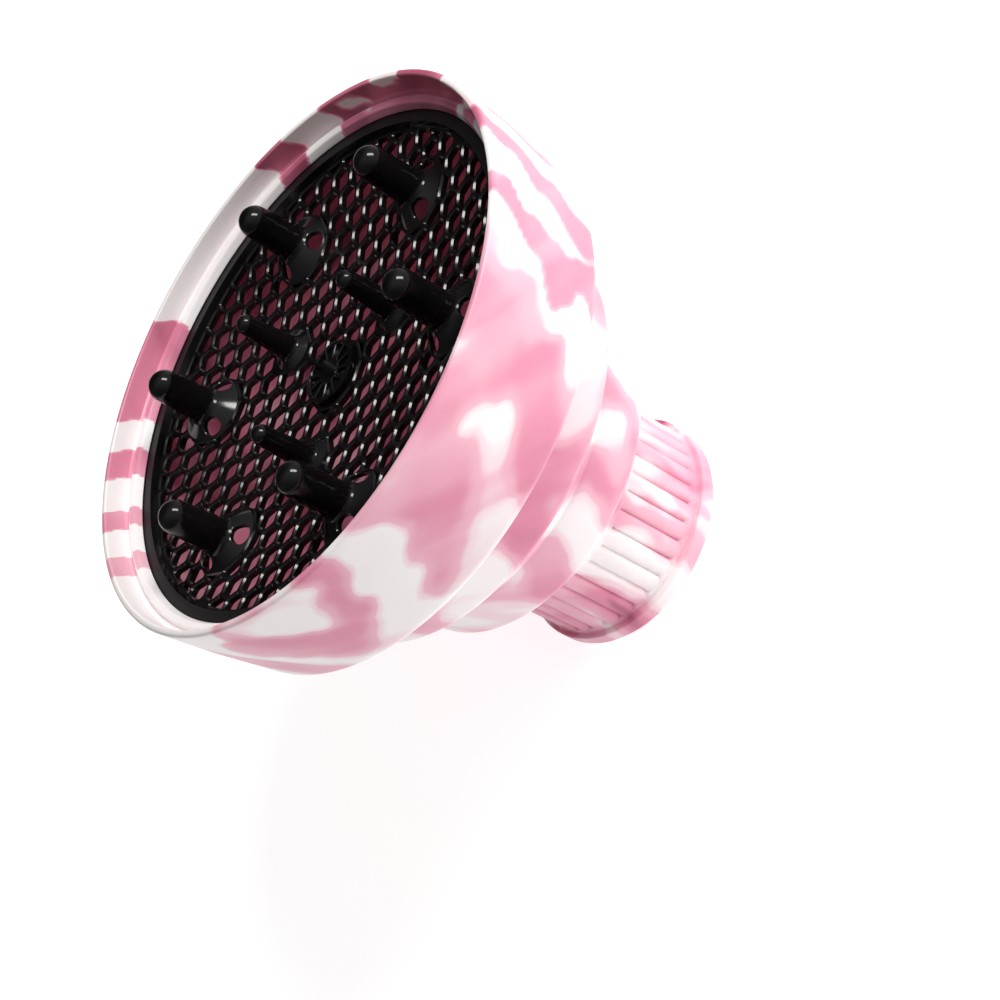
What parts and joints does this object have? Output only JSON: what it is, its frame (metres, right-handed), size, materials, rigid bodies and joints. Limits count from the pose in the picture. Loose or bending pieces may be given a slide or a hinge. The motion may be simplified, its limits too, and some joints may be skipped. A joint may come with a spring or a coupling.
{
  "type": "hair dryer diffuser",
  "caption": "Folding silicone bell that fits over a hair dryer nozzle, with a honeycomb grille and prongs in its wide mouth.",
  "frame": {"origin": "centre of the dryer end's face, where the part stands", "axes": "+Z along the axis from the dryer end to the mouth; +X through one of the long prongs"},
  "size_m": [0.15, 0.15, 0.128],
  "materials": {
    "silicone": "marbled pink and white silicone, satin",
    "black_plastic": "polished moulded plastic"
  },
  "bodies": {
    "socket": {"nozzle_socket": "silicone", "fold_web_socket": "silicone"},
    "inner_ring": {"inner_ring": "silicone", "fold_web_middle": "silicone"},
    "outer_ring": {"outer_ring": "silicone", "fold_web_bowl": "silicone"},
    "bowl": {"bowl": "silicone", "grille_plate": "black_plastic", "grille_hub": "black_plastic", "long_prong_1": "black_plastic", "long_prong_2": "black_plastic", "long_prong_3": "black_plastic", "long_prong_4": "black_plastic", "long_prong_5": "black_plastic", "long_prong_6": "black_plastic", "short_prong_1": "black_plastic", "short_prong_2": "black_plastic", "short_prong_3": "black_plastic"},
    "grip_fin_01": {"grip_fin_01": "silicone"},
    "grip_fin_02": {"grip_fin_02": "silicone"},
    "grip_fin_03": {"grip_fin_03": "silicone"},
    "grip_fin_04": {"grip_fin_04": "silicone"},
    "grip_fin_05": {"grip_fin_05": "silicone"},
    "grip_fin_06": {"grip_fin_06": "silicone"},
    "grip_fin_07": {"grip_fin_07": "silicone"},
    "grip_fin_08": {"grip_fin_08": "silicone"},
    "grip_fin_09": {"grip_fin_09": "silicone"},
    "grip_fin_10": {"grip_fin_10": "silicone"},
    "grip_fin_11": {"grip_fin_11": "silicone"},
    "grip_fin_12": {"grip_fin_12": "silicone"}
  },
  "joints": [
    {"name": "inner_ring_fold", "type": "slide", "parent": "socket", "child": "inner_ring", "axis": [0, 0, 1], "range_m": [-0.0205, 0], "deforming": ["fold_web_socket"]},
    {"name": "outer_ring_fold", "type": "slide", "parent": "inner_ring", "child": "outer_ring", "axis": [0, 0, 1], "range_m": [-0.017, 0], "deforming": ["fold_web_middle"]},
    {"name": "bowl_fold", "type": "slide", "parent": "outer_ring", "child": "bowl", "axis": [0, 0, 1], "range_m": [-0.012, 0], "deforming": ["fold_web_bowl"]},
    {"name": "grip_fin_01_bend", "type": "hinge", "parent": "socket", "child": "grip_fin_01", "pos_m": [0.02494, 0.01085, 0.0175], "axis": [0, 0, 1], "range_deg": [0, 45], "stiffness_Nm_per_rad": 0.002},
    {"name": "grip_fin_02_bend", "type": "hinge", "parent": "socket", "child": "grip_fin_02", "pos_m": [0.02186, 0.01618, 0.0175], "axis": [0, 0, -1], "range_deg": [0, 45], "stiffness_Nm_per_rad": 0.002},
    {"name": "grip_fin_03_bend", "type": "hinge", "parent": "socket", "child": "grip_fin_03", "pos_m": [0.00308, 0.02703, 0.0175], "axis": [0, 0, 1], "range_deg": [0, 45], "stiffness_Nm_per_rad": 0.002},
    {"name": "grip_fin_04_bend", "type": "hinge", "parent": "socket", "child": "grip_fin_04", "pos_m": [-0.00308, 0.02703, 0.0175], "axis": [0, 0, -1], "range_deg": [0, 45], "stiffness_Nm_per_rad": 0.002},
    {"name": "grip_fin_05_bend", "type": "hinge", "parent": "socket", "child": "grip_fin_05", "pos_m": [-0.02186, 0.01618, 0.0175], "axis": [0, 0, 1], "range_deg": [0, 45], "stiffness_Nm_per_rad": 0.002},
    {"name": "grip_fin_06_bend", "type": "hinge", "parent": "socket", "child": "grip_fin_06", "pos_m": [-0.02494, 0.01085, 0.0175], "axis": [0, 0, -1], "range_deg": [0, 45], "stiffness_Nm_per_rad": 0.002},
    {"name": "grip_fin_07_bend", "type": "hinge", "parent": "socket", "child": "grip_fin_07", "pos_m": [-0.02494, -0.01085, 0.0175], "axis": [0, 0, 1], "range_deg": [0, 45], "stiffness_Nm_per_rad": 0.002},
    {"name": "grip_fin_08_bend", "type": "hinge", "parent": "socket", "child": "grip_fin_08", "pos_m": [-0.02186, -0.01618, 0.0175], "axis": [0, 0, -1], "range_deg": [0, 45], "stiffness_Nm_per_rad": 0.002},
    {"name": "grip_fin_09_bend", "type": "hinge", "parent": "socket", "child": "grip_fin_09", "pos_m": [-0.00308, -0.02703, 0.0175], "axis": [0, 0, 1], "range_deg": [0, 45], "stiffness_Nm_per_rad": 0.002},
    {"name": "grip_fin_10_bend", "type": "hinge", "parent": "socket", "child": "grip_fin_10", "pos_m": [0.00308, -0.02703, 0.0175], "axis": [0, 0, -1], "range_deg": [0, 45], "stiffness_Nm_per_rad": 0.002},
    {"name": "grip_fin_11_bend", "type": "hinge", "parent": "socket", "child": "grip_fin_11", "pos_m": [0.02186, -0.01618, 0.0175], "axis": [0, 0, 1], "range_deg": [0, 45], "stiffness_Nm_per_rad": 0.002},
    {"name": "grip_fin_12_bend", "type": "hinge", "parent": "socket", "child": "grip_fin_12", "pos_m": [0.02494, -0.01085, 0.0175], "axis": [0, 0, -1], "range_deg": [0, 45], "stiffness_Nm_per_rad": 0.002}
  ],
  "couplings": [
    {"joint": "grip_fin_02_bend", "follows": "grip_fin_01_bend", "ratio": 1},
    {"joint": "grip_fin_03_bend", "follows": "grip_fin_01_bend", "ratio": 1},
    {"joint": "grip_fin_04_bend", "follows": "grip_fin_01_bend", "ratio": 1},
    {"joint": "grip_fin_05_bend", "follows": "grip_fin_01_bend", "ratio": 1},
    {"joint": "grip_fin_06_bend", "follows": "grip_fin_01_bend", "ratio": 1},
    {"joint": "grip_fin_07_bend", "follows": "grip_fin_01_bend", "ratio": 1},
    {"joint": "grip_fin_08_bend", "follows": "grip_fin_01_bend", "ratio": 1},
    {"joint": "grip_fin_09_bend", "follows": "grip_fin_01_bend", "ratio": 1},
    {"joint": "grip_fin_10_bend", "follows": "grip_fin_01_bend", "ratio": 1},
    {"joint": "grip_fin_11_bend", "follows": "grip_fin_01_bend", "ratio": 1},
    {"joint": "grip_fin_12_bend", "follows": "grip_fin_01_bend", "ratio": 1}
  ]
}
